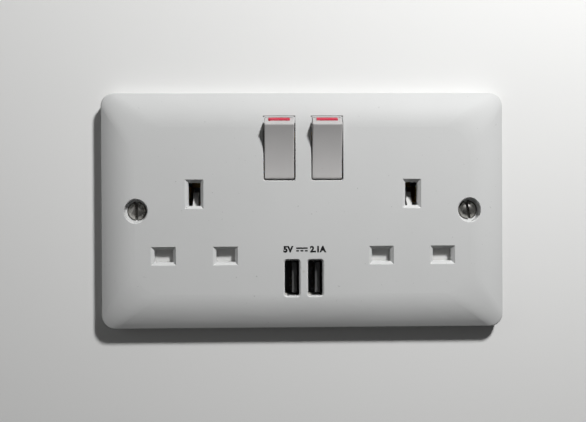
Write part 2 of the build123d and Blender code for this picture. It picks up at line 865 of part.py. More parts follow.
def build_fixing_screw(x, slot_turn):
    crown_y = fixing_seat_y - 1.0
    cone_y = fixing_seat_y + fixing_head_radius - fixing_neck_radius
    neck_x = x + fixing_neck_radius
    head_x = x + fixing_head_radius
    thread_x = x + fixing_thread_radius
    with BuildPart() as screw:
        with BuildSketch(Plane.XY):
            with BuildLine():
                Polyline(
                    (x, crown_y),
                    (x, fixing_tip_y),
                    (x + 1.2, fixing_tip_y),
                    (thread_x, fixing_tip_y - 0.6),
                    (thread_x, fixing_thread_start_y),
                    (neck_x, fixing_thread_start_y - 0.3),
                    (neck_x, cone_y),
                    (head_x, fixing_seat_y),
                )
                ThreePointArc(
                    (head_x, fixing_seat_y),
                    (x + fixing_head_radius * 0.55, fixing_seat_y - 0.72),
                    (x, crown_y),
                )
            make_face()
        revolve(axis=Axis((x, 0, 0), (0, 1, 0)))
        with BuildSketch(at_depth(crown_y + fixing_slot_depth)):
            with Locations(Location((x, 0), slot_turn)):
                Rectangle(fixing_slot_width, 9.0)
        extrude(amount=2.0, mode=Mode.SUBTRACT)
    return screw.part


def build_shutter(side):
    x = side * socket_x
    front = shutter_front_y
    back = shutter_back_y
    left = x - shutter_half_width
    half_stem = shutter_stem_width / 2
    stem_top = shutter_stem_top_z
    ramp_back_y = ramp_deep_y + ramp_thickness
    with BuildPart() as shutter:
        span(left, left + 2 * shutter_half_width, shutter_bottom_z, shutter_top_z, front, back)
        span(x - half_stem, x + half_stem, shutter_top_z - 1, stem_top, front, back)
        side_profile(
            x,
            [
                (back - 0.5, stem_top - 5.2),
                (front, stem_top - 1.5),
                (front, stem_top),
                (ramp_deep_y, ramp_top_z),
                (ramp_back_y, ramp_top_z),
                (ramp_back_y, ramp_top_z - 3.6),
                (back, stem_top - 5.2),
            ],
            ramp_width,
        )
        peg_end = shutter_bottom_z - 1.6
        peg_root = shutter_bottom_z + 2 * root
        cross_bore(x, shutter_spring_y, peg_end, peg_root, shutter_peg_radius, Mode.ADD)
        for end in (-1, 1):
            hole_x = x + end * shutter_hole_x
            block(hole_x, live_pin_z, *shutter_hole, front - 1, back + 1, 0.4, Mode.SUBTRACT)
    return shutter.part


def build_shutter_spring(side):
    wire = shutter_spring_wire
    low = shutter_seat_z + wire / 2 + 0.05
    height = shutter_bottom_z - wire / 2 - 0.05 - low
    home = Plane(origin=(side * socket_x, shutter_spring_y, low), x_dir=(1, 0, 0), z_dir=(0, 0, 1))
    return coil(home, shutter_spring_radius - wire / 2, wire, height / 6, height)


def cross_slot(x, z, length, width, front_y, back_y):
    block(x, z, length, width, front_y, back_y, mode=Mode.SUBTRACT)
    block(x, z, width, length, front_y, back_y, mode=Mode.SUBTRACT)


def build_housing_screws():
    crown_y = housing_back_y + 1.5
    with BuildPart() as screws:
        for side in (-1, 1):
            for x, z in housing_screws:
                peg(side * x, z, screw_shank_radius, -5.6, housing_back_y + 0.05)
                peg(side * x, z, screw_head_radius, housing_back_y, crown_y)
                cross_slot(side * x, z, 3.0, 0.7, crown_y - 0.8, crown_y + 0.5)
    return screws.part


def build_board():
    front_y, back_y = board_front_y - 1, board_back_y + 1
    half_width = board_width / 2
    with BuildPart() as board:
        span(-half_width, half_width, board_bottom_z, board_top_z, board_front_y, board_back_y)
        chamfer(board.edges().filter_by(Axis.Y), 0.6)
        for side in (-1, 1):
            peg(side * board_screw_x, board_screw_z, 1.4, front_y, back_y, Mode.SUBTRACT)
            for row in contact_rows:
                pin_x = side * port_x - 0.15
                peg(pin_x, port_z + row, 0.65, front_y, back_y, Mode.SUBTRACT)
        peg(0, feed_hole_z, feed_wire_radius + 0.1, front_y, back_y, Mode.SUBTRACT)
        peg(*neutral_feed, 0.6, front_y, back_y, Mode.SUBTRACT)
    return board.part


def build_board_screws():
    crown_y = board_front_y - 1.3
    with BuildPart() as screws:
        for side in (-1, 1):
            x = side * board_screw_x
            peg(x, board_screw_z, 0.85, board_front_y, 13.4)
            peg(x, board_screw_z, 2.1, crown_y, board_front_y)
            cross_slot(x, board_screw_z, 2.6, 0.6, crown_y - 0.5, crown_y + 0.6)
    return screws.part


def build_shell(x):
    outer = (shell_inner[0] + 2 * shell_wall, shell_inner[1] + 2 * shell_wall)
    front_y = shell_front_y
    with BuildPart() as shell:
        block(x, port_z, *outer, front_y, board_front_y, 0.8)
        block(x, port_z, *shell_inner, front_y - 1, board_front_y + 1, 0.5, mode=Mode.SUBTRACT)
        for end in (-1, 1):
            for row in shell_slot_rows:
                slot_x = x + end * shell_slot_x
                slot_z = port_z + row
                block(slot_x, slot_z, *shell_slot, front_y + 4, front_y + 9, mode=Mode.SUBTRACT)
    return shell.part


def build_tongue(x):
    base = (shell_inner[0] - 0.06, shell_inner[1] - 0.06)
    left = x + tongue_left
    with BuildPart() as tongue:
        block(x, port_z, *base, tongue_root_y, board_front_y - 0.05, 0.47)
        block(
            left + tongue_thickness / 2,
            port_z,
            tongue_thickness,
            tongue_height,
            tongue_front_y,
            tongue_root_y + 1,
        )
        front = tongue.faces().sort_by(Axis.Y)[0]
        chamfer(front.edges().filter_by(Axis.Z), tongue_edge)
        half_groove = contact_width / 2 + 0.15
        for row in contact_rows:
            z = port_z + row
            groove_y = tongue_front_y + 1.2
            groove_right = left + contact_sunk + 0.02
            span(
                left - 0.6,
                groove_right,
                z - half_groove,
                z + half_groove,
                groove_y,
                board_front_y + 1,
                Mode.SUBTRACT,
            )
    return tongue.part


def build_contacts(x):
    left = x + tongue_left
    right = left + contact_sunk
    half_width = contact_width / 2
    with BuildPart() as contacts:
        for row in contact_rows:
            low, high = port_z + row - half_width, port_z + row + half_width
            span(left - contact_proud, right, low, high, tongue_front_y + 1.3, board_front_y)
            span(x - 0.45, right, low, high, board_front_y - 0.4, board_front_y)
            peg(x - 0.15, port_z + row, 0.4, board_front_y - root, board_back_y + 0.8)
    return contacts.part


def build_transformer_core():
    window = (winding_size[0] + 0.2, winding_size[1])
    with BuildPart() as core:
        block(*transformer_centre, *transformer_core_size, transformer_front_y, transformer_back_y)
        chamfer(core.edges().filter_by(Axis.Z), 0.3)
        window_y = winding_front_y - 0.1
        window_end_y = winding_back_y + 0.1
        block(*transformer_centre, *window, window_y, window_end_y, mode=Mode.SUBTRACT)
        peg(*transformer_centre, 2.4, window_y - 0.1, window_end_y + 0.1)
    return core.part


def build_transformer_winding():
    centre_x, centre_z = transformer_centre
    with BuildPart() as winding:
        block(centre_x, centre_z, *winding_size, winding_front_y, winding_back_y, 1.2)
        peg(centre_x, centre_z, 2.5, 0, 5, Mode.SUBTRACT)
        for end in (-1, 1):
            foot_z = centre_z + end * bobbin_foot_z
            block(centre_x, foot_z, 8.8, 1.8, winding_front_y, board_front_y - 0.5)
            for pin in (-3.2, 0.0, 3.2):
                peg(centre_x + pin, foot_z, 0.35, board_front_y - 1, board_front_y)
    return winding.part


def build_capacitor(x, z, radius, height):
    top = board_front_y - height
    vent = radius * 1.3
    with BuildPart() as can:
        peg(x, z, radius, top, board_front_y)
        fillet(can.edges().filter_by_position(Axis.Y, top - 0.01, top + 0.01), 0.5)
        cross_slot(x, z, vent, 0.3, top - 1, top + 0.2)
    return can.part


def build_filter_capacitor():
    with BuildPart() as film:
        block(
            *film_capacitor_place,
            *film_capacitor_size,
            film_capacitor_front_y,
            board_front_y,
            0.5,
        )
    return film.part


def build_board_parts():
    x, z = controller_place
    with BuildPart() as small:
        block(x, z, *controller_size, board_front_y - 1.6, board_front_y)
        for row in (-1.9, -0.65, 0.65, 1.9):
            for end in (-1, 1):
                leg_x = x + end * (controller_size[0] / 2 + 0.4)
                block(leg_x, z + row, 1.0, 0.45, board_front_y - 0.5, board_front_y)
        block(-14.8, -8.4, 2.2, 4.4, board_front_y - 1.2, board_front_y)
        block(13.2, -16.0, 4.4, 2.2, board_front_y - 1.1, board_front_y)
    return small.part


def build_line_wire():
    with BuildPart() as wire:
        with BuildLine() as path:
            FilletPolyline(
                (0, bar_y, feed_wire_z),
                (0, 5.2, feed_wire_z),
                (0, 5.2, feed_hole_z),
                (0, board_back_y + 0.6, feed_hole_z),
                radius=feed_wire_bend,
            )
        with BuildSketch(Plane(origin=path.line @ 0, z_dir=path.line % 0)):
            Circle(feed_wire_radius)
        sweep()
    return wire.part


def build_neutral_wire():
    with BuildPart() as wire:
        peg(*neutral_feed, 0.5, board_front_y - 0.8, bar_y)
    return wire.part


parts = {
    "front_plate": front_plate.part,
    "rear_housing": rear_housing.part,
    "line_busbar": build_line_bar(),
    "neutral_busbar": build_neutral_bar(),
    "earth_busbar": build_earth_bar(),
    "line_terminal": build_terminal(*line_terminal, bar_y),
    "neutral_terminal": build_terminal(*neutral_terminal, bar_y),
    "line_terminal_screw": build_terminal_screw(*line_terminal, bar_y),
    "neutral_terminal_screw": build_terminal_screw(*neutral_terminal, bar_y),
    "housing_screws": build_housing_screws(),
    "charger_board": build_board(),
    "board_screws": build_board_screws(),
    "transformer_core": build_transformer_core(),
    "transformer_winding": build_transformer_winding(),
    "input_capacitor": build_capacitor(*input_capacitor),
    "output_capacitor": build_capacitor(*output_capacitor),
    "filter_capacitor": build_filter_capacitor(),
    "board_components": build_board_parts(),
    "line_feed_wire": build_line_wire(),
    "neutral_feed_pin": build_neutral_wire(),
}
for name, side, slot_turn in (("left", -1, 0.0), ("right", 1, 11.0)):
    parts["rocker_" + name] = build_rocker(side * rocker_x)
    parts["on_mark_" + name] = build_mark(side * rocker_x)
    parts["plunger_" + name] = build_plunger(side * rocker_x)
    parts["plunger_spring_" + name] = build_plunger_spring(side * rocker_x)
    parts["moving_contact_" + name] = build_seesaw(side * rocker_x)
    parts["switched_line_" + name] = build_line_out(side)
    parts["shutter_" + name] = build_shutter(side)
    parts["shutter_spring_" + name] = build_shutter_spring(side)
    parts["fixing_screw_" + name] = build_fixing_screw(side * fixing_centres / 2, slot_turn)
    earth_place = (side * earth_terminal[0], earth_terminal[1], earth_bar_y)
    parts["earth_terminal_" + name] = build_terminal(*earth_place)
    parts["earth_terminal_screw_" + name] = build_terminal_screw(*earth_place)
    parts["port_shell_" + name] = build_shell(side * port_x)
    parts["port_tongue_" + name] = build_tongue(side * port_x)
    parts["port_contacts_" + name] = build_contacts(side * port_x)

for name, part in parts.items():
    part.label = name
    export_step(part, "parts/" + name + ".step")
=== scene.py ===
import json
import math

import bmesh
import bpy
from mathutils import Matrix, Vector

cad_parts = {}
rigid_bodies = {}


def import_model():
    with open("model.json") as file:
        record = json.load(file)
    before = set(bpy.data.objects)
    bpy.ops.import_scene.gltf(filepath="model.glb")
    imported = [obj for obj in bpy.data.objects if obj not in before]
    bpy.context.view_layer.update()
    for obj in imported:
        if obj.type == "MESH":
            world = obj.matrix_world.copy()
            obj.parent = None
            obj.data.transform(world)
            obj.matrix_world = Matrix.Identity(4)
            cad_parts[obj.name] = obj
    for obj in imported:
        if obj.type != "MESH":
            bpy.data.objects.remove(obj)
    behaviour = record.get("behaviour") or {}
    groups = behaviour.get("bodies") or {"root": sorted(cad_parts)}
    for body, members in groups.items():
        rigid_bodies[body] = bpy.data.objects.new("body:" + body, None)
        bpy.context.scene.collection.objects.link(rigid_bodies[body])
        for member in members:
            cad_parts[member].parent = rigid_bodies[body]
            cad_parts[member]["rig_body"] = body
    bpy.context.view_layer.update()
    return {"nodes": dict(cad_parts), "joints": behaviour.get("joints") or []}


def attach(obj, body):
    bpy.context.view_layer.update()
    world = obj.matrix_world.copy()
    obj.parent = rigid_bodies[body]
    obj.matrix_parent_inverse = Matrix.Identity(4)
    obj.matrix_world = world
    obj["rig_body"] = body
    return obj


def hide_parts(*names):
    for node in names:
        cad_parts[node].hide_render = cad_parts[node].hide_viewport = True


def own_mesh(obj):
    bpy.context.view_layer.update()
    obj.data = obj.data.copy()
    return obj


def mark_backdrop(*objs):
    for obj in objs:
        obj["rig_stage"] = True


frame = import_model()
nodes = frame["nodes"]
print("solids loaded:", len(nodes))


# shader helpers

class Term:  # a socket that works in sums
    def __init__(self, tree, socket):
        self.tree = tree
        self.socket = socket

    def calc(self, operation, *values):
        node = self.tree.nodes.new("ShaderNodeMath")
        node.operation = operation
        for slot, value in zip(node.inputs, values):
            plug(self.tree, slot, value)
        return Term(self.tree, node.outputs[0])

    def __add__(self, other):
        return self.calc("ADD", self, other)

    def __sub__(self, other):
        return self.calc("SUBTRACT", self, other)

    def __rsub__(self, other):
        return self.calc("SUBTRACT", other, self)

    def __mul__(self, other):
        return self.calc("MULTIPLY", self, other)

    def __pow__(self, other):
        return self.calc("POWER", self, other)

    __radd__ = __add__
    __rmul__ = __mul__

    def least(self, other):
        return self.calc("MINIMUM", self, other)

    def most(self, other):
        return self.calc("MAXIMUM", self, other)

    def size(self):
        return self.calc("ABSOLUTE", self)

    def clipped(self):
        return self.most(0.0).least(1.0)


def plug(tree, slot, value):
    if isinstance(value, Term):
        tree.links.new(value.socket, slot)
    elif isinstance(value, tuple) and len(value) == 3 and slot.type == "RGBA":
        slot.default_value = (*value, 1.0)
    else:
        slot.default_value = value


class Finish:  # one material, with a single way to add a node to it
    def __init__(self, name, fixed=None):
        self.material = bpy.data.materials.new(name)
        self.material.use_nodes = True
        self.tree = self.material.node_tree
        self.shader = self.tree.nodes["Principled BSDF"]
        self.wear(fixed or {})

    def node(self, kind, settings=None, sockets=None, output=0):
        node = self.tree.nodes.new(kind)
        for name, value in (settings or {}).items():
            if name == "stops":
                ramp = node.color_ramp
                while len(ramp.elements) < len(value):
                    ramp.elements.new(0.5)
                for element, (place, colour) in zip(ramp.elements, value):
                    element.position = place
                    element.color = (*colour, 1.0)
            else:
                setattr(node, name, value)
        for name, value in (sockets or {}).items():
            plug(self.tree, node.inputs[name], value)
        return Term(self.tree, node.outputs[output])  # an output's number or its name

    def place(self):
        return self.node("ShaderNodeTexCoord", output="Object")

    def axes(self):
        where = self.place()
        split = self.tree.nodes.new("ShaderNodeSeparateXYZ")
        self.tree.links.new(where.socket, split.inputs[0])
        return [Term(self.tree, out) for out in split.outputs]

    def stretched(self, scale):
        return self.node("ShaderNodeMapping", {}, {"Vector": self.place(), "Scale": scale})

    def cloud(self, scale, detail=3.0, rough=0.55, vector=None):
        vector = vector or self.place()
        sockets = {"Vector": vector, "Scale": scale, "Detail": detail, "Roughness": rough}
        return self.node("ShaderNodeTexNoise", {}, sockets)

    def band(self, value, low, high):  # 0 below low, 1 above high, smooth between
        return self.node(
            "ShaderNodeMapRange",
            {"interpolation_type": "SMOOTHSTEP"},
            {"Value": value, "From Min": low, "From Max": high},
        )

    def recess(self, reach):  # 1 deep in the piece's own corners and slots, 0 in the open; the mask for painted shade
        settings = {"samples": 6, "only_local": True}
        free = self.node("ShaderNodeAmbientOcclusion", settings, {"Distance": reach}, "AO")
        return self.band(1.0 - free, 0.3, 0.85)

    def edge(self, reach):  # 1 along the piece's sharp edges
        rounded = self.node("ShaderNodeBevel", {"samples": 4}, {"Radius": reach})
        flat = self.node("ShaderNodeNewGeometry", output="Normal")
        settings = {"operation": "DOT_PRODUCT"}
        match = self.node("ShaderNodeVectorMath", settings, {0: rounded, 1: flat}, "Value")
        return self.band(1.0 - match, 0.01, 0.15)

    def mix(self, share, first, second):
        return self.node(
            "ShaderNodeMix", {"data_type": "RGBA"}, {0: share, 6: first, 7: second}, output=2
        )

    def bump(self, height, strength, distance):
        return self.node(
            "ShaderNodeBump", {}, {"Height": height, "Strength": strength, "Distance": distance}
        )

    def wear(self, sockets):
        for socketName, value in sockets.items():
            plug(self.tree, self.shader.inputs[socketName], value)


def tinted(colour, factor):
    return tuple(channel * factor for channel in colour)


# camera

cameraPlan = {
    "standPoint": (-0.010148, -0.270, 0.000819),
    "yaw": math.radians(1.4031),
    "pitch": math.radians(-0.213),
    "roll": math.radians(-0.257),
    "lens": 44.46,
    "sensor": 36.0,
}


def setCamera(plan):
    yaw, pitch, roll = plan["yaw"], plan["pitch"], plan["roll"]
    ahead = Vector((math.sin(yaw) * math.cos(pitch), math.cos(yaw) * math.cos(pitch), math.sin(pitch)))
    right = Vector((math.cos(yaw), -math.sin(yaw), 0.0))
    up = right.cross(ahead)
    right, up = (
        right * math.cos(roll) + up * math.sin(roll),
        up * math.cos(roll) - right * math.sin(roll),
    )
    data = bpy.data.cameras.new("photoCamera")
    data.lens = plan["lens"]
    data.sensor_fit = "HORIZONTAL"
    data.sensor_width = plan["sensor"]
    data.clip_start = 0.01
    camera = bpy.data.objects.new("photoCamera", data)
    bpy.context.scene.collection.objects.link(camera)
    turn = Matrix((right, up, -ahead)).transposed().to_4x4()
    camera.matrix_world = Matrix.Translation(plan["standPoint"]) @ turn
    bpy.context.scene.camera = camera


setCamera(cameraPlan)
print("camera set")


# wall, floor and lamps

stagePlan = {
    "wallSize": (1.6, 1.2),
    "boxHole": (0.118, 0.078),  # hole for the back box, hidden by the plate
    "wallColour": (0.80, 0.80, 0.79),
    "floorGlow": 0.45,  # keeps the floor pale in every view
    "floorBounce": (0.10, 0.10, 0.10),  # what the floor sends back up on to the socket
    "floorDrop": 0.32,
    "keyFrom": Vector((0.54, -1.0, 1.03)),  # towards the lamp
    "keyFar": 0.55,
    "keySize": 0.07,
    "keyLevel": 1.12,
    "fillFrom": Vector((-1.0, -0.75, 0.15)),
    "fillLevel": 0.055,
    "skyTop": 0.09,
    "skyFoot": 0.012,
    "backLevel": 0.5,
}


def sheet(name, loops, faces):
    mesh = bpy.data.meshes.new(name)
    mesh.from_pydata(loops, [], faces)
    piece = bpy.data.objects.new(name, mesh)
    bpy.context.scene.collection.objects.link(piece)
    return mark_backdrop(piece) or piece


def rectangle(width, height, y):
    w, h = width / 2, height / 2
    return [(-w, y, -h), (w, y, -h), (w, y, h), (-w, y, h)]


def setStage(plan):
    wallY = 0.0002
    corners = rectangle(*plan["wallSize"], wallY) + rectangle(*plan["boxHole"], wallY)
    ring = [(i, (i + 1) % 4, (i + 1) % 4 + 4, i + 4) for i in range(4)]
    wall = sheet("wall", corners, ring)
    w = plan["wallSize"][0] / 2
    z = -plan["floorDrop"]
    floor = sheet("floor", [(-w, -w, z), (w, -w, z), (w, w, z), (-w, w, z)], [(0, 1, 2, 3)])

    matt = {"Base Color": plan["wallColour"], "Roughness": 0.9, "Specular IOR Level": 0.1}
    paint = Finish("stagePaint", matt)
    paint.wear({"Normal": paint.bump(paint.cloud(220.0), 0.05, 0.0003)})
    floor.data.materials.append(paint.material)

    looked = paint.node("ShaderNodeLightPath", output="Is Camera Ray")
    paint.wear({
        "Base Color": paint.mix(looked, plan["floorBounce"], plan["wallColour"]),
        "Emission Color": paint.mix(looked * plan["floorGlow"], (0.0, 0.0, 0.0), (1.0, 1.0, 1.0)),
        "Emission Strength": 1.0,
    })

    # the wall is solid only to what looks at it from its front, so the back can be looked at and lit
    oneSided = Finish("wallPaint", matt)
    seen = oneSided.node("ShaderNodeLightPath", output="Is Camera Ray")
    oneSided.wear({"Normal": oneSided.bump(oneSided.cloud(220.0), 0.05, 0.0003)})
    tree = oneSided.tree
    behind = oneSided.node("ShaderNodeNewGeometry", output="Backfacing")
    clear = oneSided.node("ShaderNodeBsdfTransparent")
    solid = Term(tree, oneSided.shader.outputs[0])
    unseen = behind.most(1.0 - seen)
    both = oneSided.node("ShaderNodeMixShader", {}, {0: unseen, 1: solid, 2: clear})
    tree.links.new(both.socket, tree.nodes["Material Output"].inputs["Surface"])
    wall.data.materials.append(oneSided.material)


def addLamp(name, towards, far, size, level, target=(0.0, 0.0, 0.0)):
    data = bpy.data.lights.new(name, "AREA")
    data.shape = "DISK"
    data.size = size
    data.energy = math.pi ** 2 * level * far ** 2  # a colour square on to it renders at that level
    lamp = bpy.data.objects.new(name, data)
    lamp.location = Vector(target) + towards.normalized() * far
    lamp.rotation_euler = towards.to_track_quat("Z", "Y").to_euler()
    bpy.context.scene.collection.objects.link(lamp)


def setLight(plan):
    addLamp("keyLamp", plan["keyFrom"], plan["keyFar"], plan["keySize"], plan["keyLevel"])
    addLamp("fillLamp", plan["fillFrom"], 0.7, 0.5, plan["fillLevel"])
    addLamp("backLamp", Vector((-0.4, 0.8, 0.6)), 0.6, 0.4, plan["backLevel"])
    world = bpy.data.worlds.new("studio")
    bpy.context.scene.world = world
    world.use_nodes = True
    tree = world.node_tree
    tree.nodes.clear()
    direction = tree.nodes.new("ShaderNodeTexCoord")
    split = tree.nodes.new("ShaderNodeSeparateXYZ")
    tree.links.new(direction.outputs["Generated"], split.inputs[0])
    height = Term(tree, split.outputs[2])
    middle = (plan["skyTop"] + plan["skyFoot"]) / 2
    swing = (plan["skyTop"] - plan["skyFoot"]) / 2
    level = height * swing + middle
    path = tree.nodes.new("ShaderNodeLightPath")
    seen = Term(tree, path.outputs["Is Camera Ray"])
    strength = seen * 0.9 + (1.0 - seen) * level
    background = tree.nodes.new("ShaderNodeBackground")
    tree.links.new(strength.socket, background.inputs["Strength"])
    output = tree.nodes.new("ShaderNodeOutputWorld")
    tree.links.new(background.outputs[0], output.inputs[0])


setStage(stagePlan)
setLight(stagePlan)
bpy.context.scene.view_settings.view_transform = "Standard"
print("stage and lamps set")


# finishes, one for each material slot of the solids

finishes = {}
# reach, strength and darkness of the painted shade in corners, slots and creases
recessShadePlan = {"reach": 0.0009, "share": 0.6, "depth": 0.3}
# edge wear that is also a painted highlight: mask reach, paleness, extra polish
edgePlan = {"reach": 0.0002, "paleWearAndSheen": 0.6, "polish": 0.14}
# painted shadow ring round each screw head: where it starts, where it fades, the head's depth range
headShadowPlan = {"starts": (0.0028, 0.0033), "fades": (0.006, 0.008), "headBack": (-0.0042, -0.0036)}


def moulded(slot, plan):
    f = Finish(slot, {"Specular IOR Level": plan["gloss"]})
    colour = plan["colour"]
    shade = f.cloud(plan["toneScale"], 4.0)
    darker, lighter = tinted(colour, 1 - plan["toneSwing"]), tinted(colour, 1 + plan["toneSwing"])
    tone = f.mix(f.band(shade, 0.3, 0.7), darker, lighter)
    dust = f.band(f.cloud(plan["dustScale"], 2.0), plan["dustEdge"], plan["dustEdge"] + 0.05)
    tone = f.mix(dust * plan["dustShare"], tone, tinted(colour, 0.45))
    # painted shade: the piece's own corners, slots and creases darkened, and made rougher
    recessShade = f.recess(recessShadePlan["reach"]) * recessShadePlan["share"]
    tone = f.mix(recessShade, tone, tinted(colour, recessShadePlan["depth"]))
    rub = f.cloud(plan["rubScale"], 5.0, 0.65)
    rough = (rub - 0.5) * plan["roughSwing"] + plan["rough"]
    # edges paler and glossier in patches: wear, and a painted highlight along the edges
    edgeWearAndSheen = f.edge(edgePlan["reach"]) * f.band(rub, 0.35, 0.6)
    tone = f.mix(edgeWearAndSheen * edgePlan["paleWearAndSheen"], tone, tinted(colour, 1.12))
    if "joints" in plan:  # painted shade in the gap round each rocker, most above it and on its right
        x, _, z = f.axes()
        for jointX, jointZ, halfX, halfZ in plan["joints"]:
            gapShade = (1.0 - f.band((x - jointX).size(), halfX, halfX + 0.0003))
            gapShade = gapShade * (1.0 - f.band((z - jointZ).size(), halfZ, halfZ + 0.0003))
            above = f.band(z, jointZ + halfZ - 0.0006, jointZ + halfZ - 0.0001)
            beside = f.band(x, jointX + halfX - 0.0004, jointX + halfX) * 0.5
            tone = f.mix((gapShade * above.most(beside) * 0.92).clipped(), tone, tinted(colour, 0.06))
    if "smudges" in plan:
        x, _, z = f.axes()
        for smudgeX, smudgeZ, radius in plan["smudges"]:
            far = ((x - smudgeX) ** 2.0 + (z - smudgeZ) ** 2.0) ** 0.5 + (rub - 0.5) * radius
            tone = f.mix((1.0 - f.band(far, 0.0, radius)) * 0.3, tone, (0.34, 0.33, 0.25))
    f.wear({
        "Base Color": tone,
        "Roughness": rough + recessShade * 0.2 - edgeWearAndSheen * edgePlan["polish"],
        "Normal": f.bump(f.cloud(plan["peelScale"], 2.0), plan["peel"], 0.0001),
    })
    finishes[slot] = f
    return f


plasticPlans = {
    "plate_white": {
        "colour": (0.615, 0.62, 0.615), "gloss": 0.11, "rough": 0.52, "roughSwing": 0.16,
        "toneScale": 22.0, "toneSwing": 0.015, "dustScale": 900.0, "dustEdge": 0.735, "dustShare": 0.5,
        "rubScale": 160.0, "peelScale": 900.0, "peel": 0.10,
        # painted shade in the gap round each rocker: centre x, centre z, half width, half height
        "joints": ((-0.00862, 0.0225, 0.0057, 0.0116), (0.00862, 0.0225, 0.0057, 0.0116)),
        "smudges": ((0.0, -0.02195, 0.0008), (-0.0009, -0.0206, 0.0006), (0.0074, -0.0198, 0.0005)),
    },
    "rocker_white": {
        "colour": (0.50, 0.49, 0.485), "gloss": 0.2, "rough": 0.50, "roughSwing": 0.16,
        "toneScale": 60.0, "toneSwing": 0.02, "dustScale": 1100.0, "dustEdge": 0.74, "dustShare": 0.5,
        "rubScale": 260.0, "peelScale": 1400.0, "peel": 0.12,
    },
    "mark_red": {
        "colour": (0.58, 0.022, 0.06), "gloss": 0.5, "rough": 0.36, "roughSwing": 0.2,
        "toneScale": 500.0, "toneSwing": 0.06, "dustScale": 1500.0, "dustEdge": 0.72, "dustShare": 0.4,
        "rubScale": 700.0, "peelScale": 2200.0, "peel": 0.12,
    },
    "shutter_white": {
        "colour": (0.63, 0.63, 0.62), "gloss": 0.4, "rough": 0.42, "roughSwing": 0.2,
        "toneScale": 90.0, "toneSwing": 0.03, "dustScale": 900.0, "dustEdge": 0.70, "dustShare": 0.4,
        "rubScale": 300.0, "peelScale": 1500.0, "peel": 0.15,
    },
    "housing_white": {
        "colour": (0.56, 0.56, 0.545), "gloss": 0.4, "rough": 0.5, "roughSwing": 0.2,
        "toneScale": 40.0, "toneSwing": 0.03, "dustScale": 700.0, "dustEdge": 0.71, "dustShare": 0.4,
        "rubScale": 200.0, "peelScale": 1600.0, "peel": 0.3,
    },
    "plunger_plastic": {
        "colour": (0.52, 0.52, 0.48), "gloss": 0.4, "rough": 0.4, "roughSwing": 0.15,
        "toneScale": 200.0, "toneSwing": 0.03, "dustScale": 1500.0, "dustEdge": 0.74, "dustShare": 0.3,
        "rubScale": 400.0, "peelScale": 1500.0, "peel": 0.15,
    },
    "port_black": {
        "colour": (0.10, 0.10, 0.10), "gloss": 0.4, "rough": 0.45, "roughSwing": 0.2,
        "toneScale": 300.0, "toneSwing": 0.06, "dustScale": 1200.0, "dustEdge": 0.70, "dustShare": 0.0,
        "rubScale": 500.0, "peelScale": 1800.0, "peel": 0.25,
    },
    "board_green": {
        "colour": (0.03, 0.17, 0.08), "gloss": 0.5, "rough": 0.32, "roughSwing": 0.15,
        "toneScale": 150.0, "toneSwing": 0.08, "dustScale": 900.0, "dustEdge": 0.70, "dustShare": 0.3,
        "rubScale": 300.0, "peelScale": 1800.0, "peel": 0.25,
    },
    "ferrite": {
        "colour": (0.05, 0.05, 0.055), "gloss": 0.4, "rough": 0.6, "roughSwing": 0.2,
        "toneScale": 400.0, "toneSwing": 0.15, "dustScale": 1500.0, "dustEdge": 0.66, "dustShare": 0.3,
        "rubScale": 700.0, "peelScale": 2500.0, "peel": 0.5,
    },
    "winding_tape": {
        "colour": (0.55, 0.40, 0.06), "gloss": 0.5, "rough": 0.3, "roughSwing": 0.15,
        "toneScale": 200.0, "toneSwing": 0.06, "dustScale": 1500.0, "dustEdge": 0.72, "dustShare": 0.3,
        "rubScale": 500.0, "peelScale": 900.0, "peel": 0.4,
    },
    "capacitor_sleeve": {
        "colour": (0.04, 0.045, 0.07), "gloss": 0.5, "rough": 0.28, "roughSwing": 0.12,
        "toneScale": 200.0, "toneSwing": 0.08, "dustScale": 1500.0, "dustEdge": 0.72, "dustShare": 0.3,
        "rubScale": 500.0, "peelScale": 1200.0, "peel": 0.2,
    },
    "film_yellow": {
        "colour": (0.66, 0.47, 0.05), "gloss": 0.5, "rough": 0.34, "roughSwing": 0.12,
        "toneScale": 200.0, "toneSwing": 0.05, "dustScale": 1500.0, "dustEdge": 0.72, "dustShare": 0.3,
        "rubScale": 500.0, "peelScale": 1200.0, "peel": 0.2,
    },
    "chip_black": {
        "colour": (0.028, 0.028, 0.03), "gloss": 0.4, "rough": 0.55, "roughSwing": 0.15,
        "toneScale": 500.0, "toneSwing": 0.1, "dustScale": 2500.0, "dustEdge": 0.70, "dustShare": 0.3,
        "rubScale": 800.0, "peelScale": 3000.0, "peel": 0.5,
    },
    "wire_brown": {
        "colour": (0.17, 0.065, 0.03), "gloss": 0.5, "rough": 0.4, "roughSwing": 0.15,
        "toneScale": 200.0, "toneSwing": 0.05, "dustScale": 1500.0, "dustEdge": 0.72, "dustShare": 0.3,
        "rubScale": 500.0, "peelScale": 1500.0, "peel": 0.15,
    },
}

for slotName, slotPlan in plasticPlans.items():
    moulded(slotName, slotPlan)


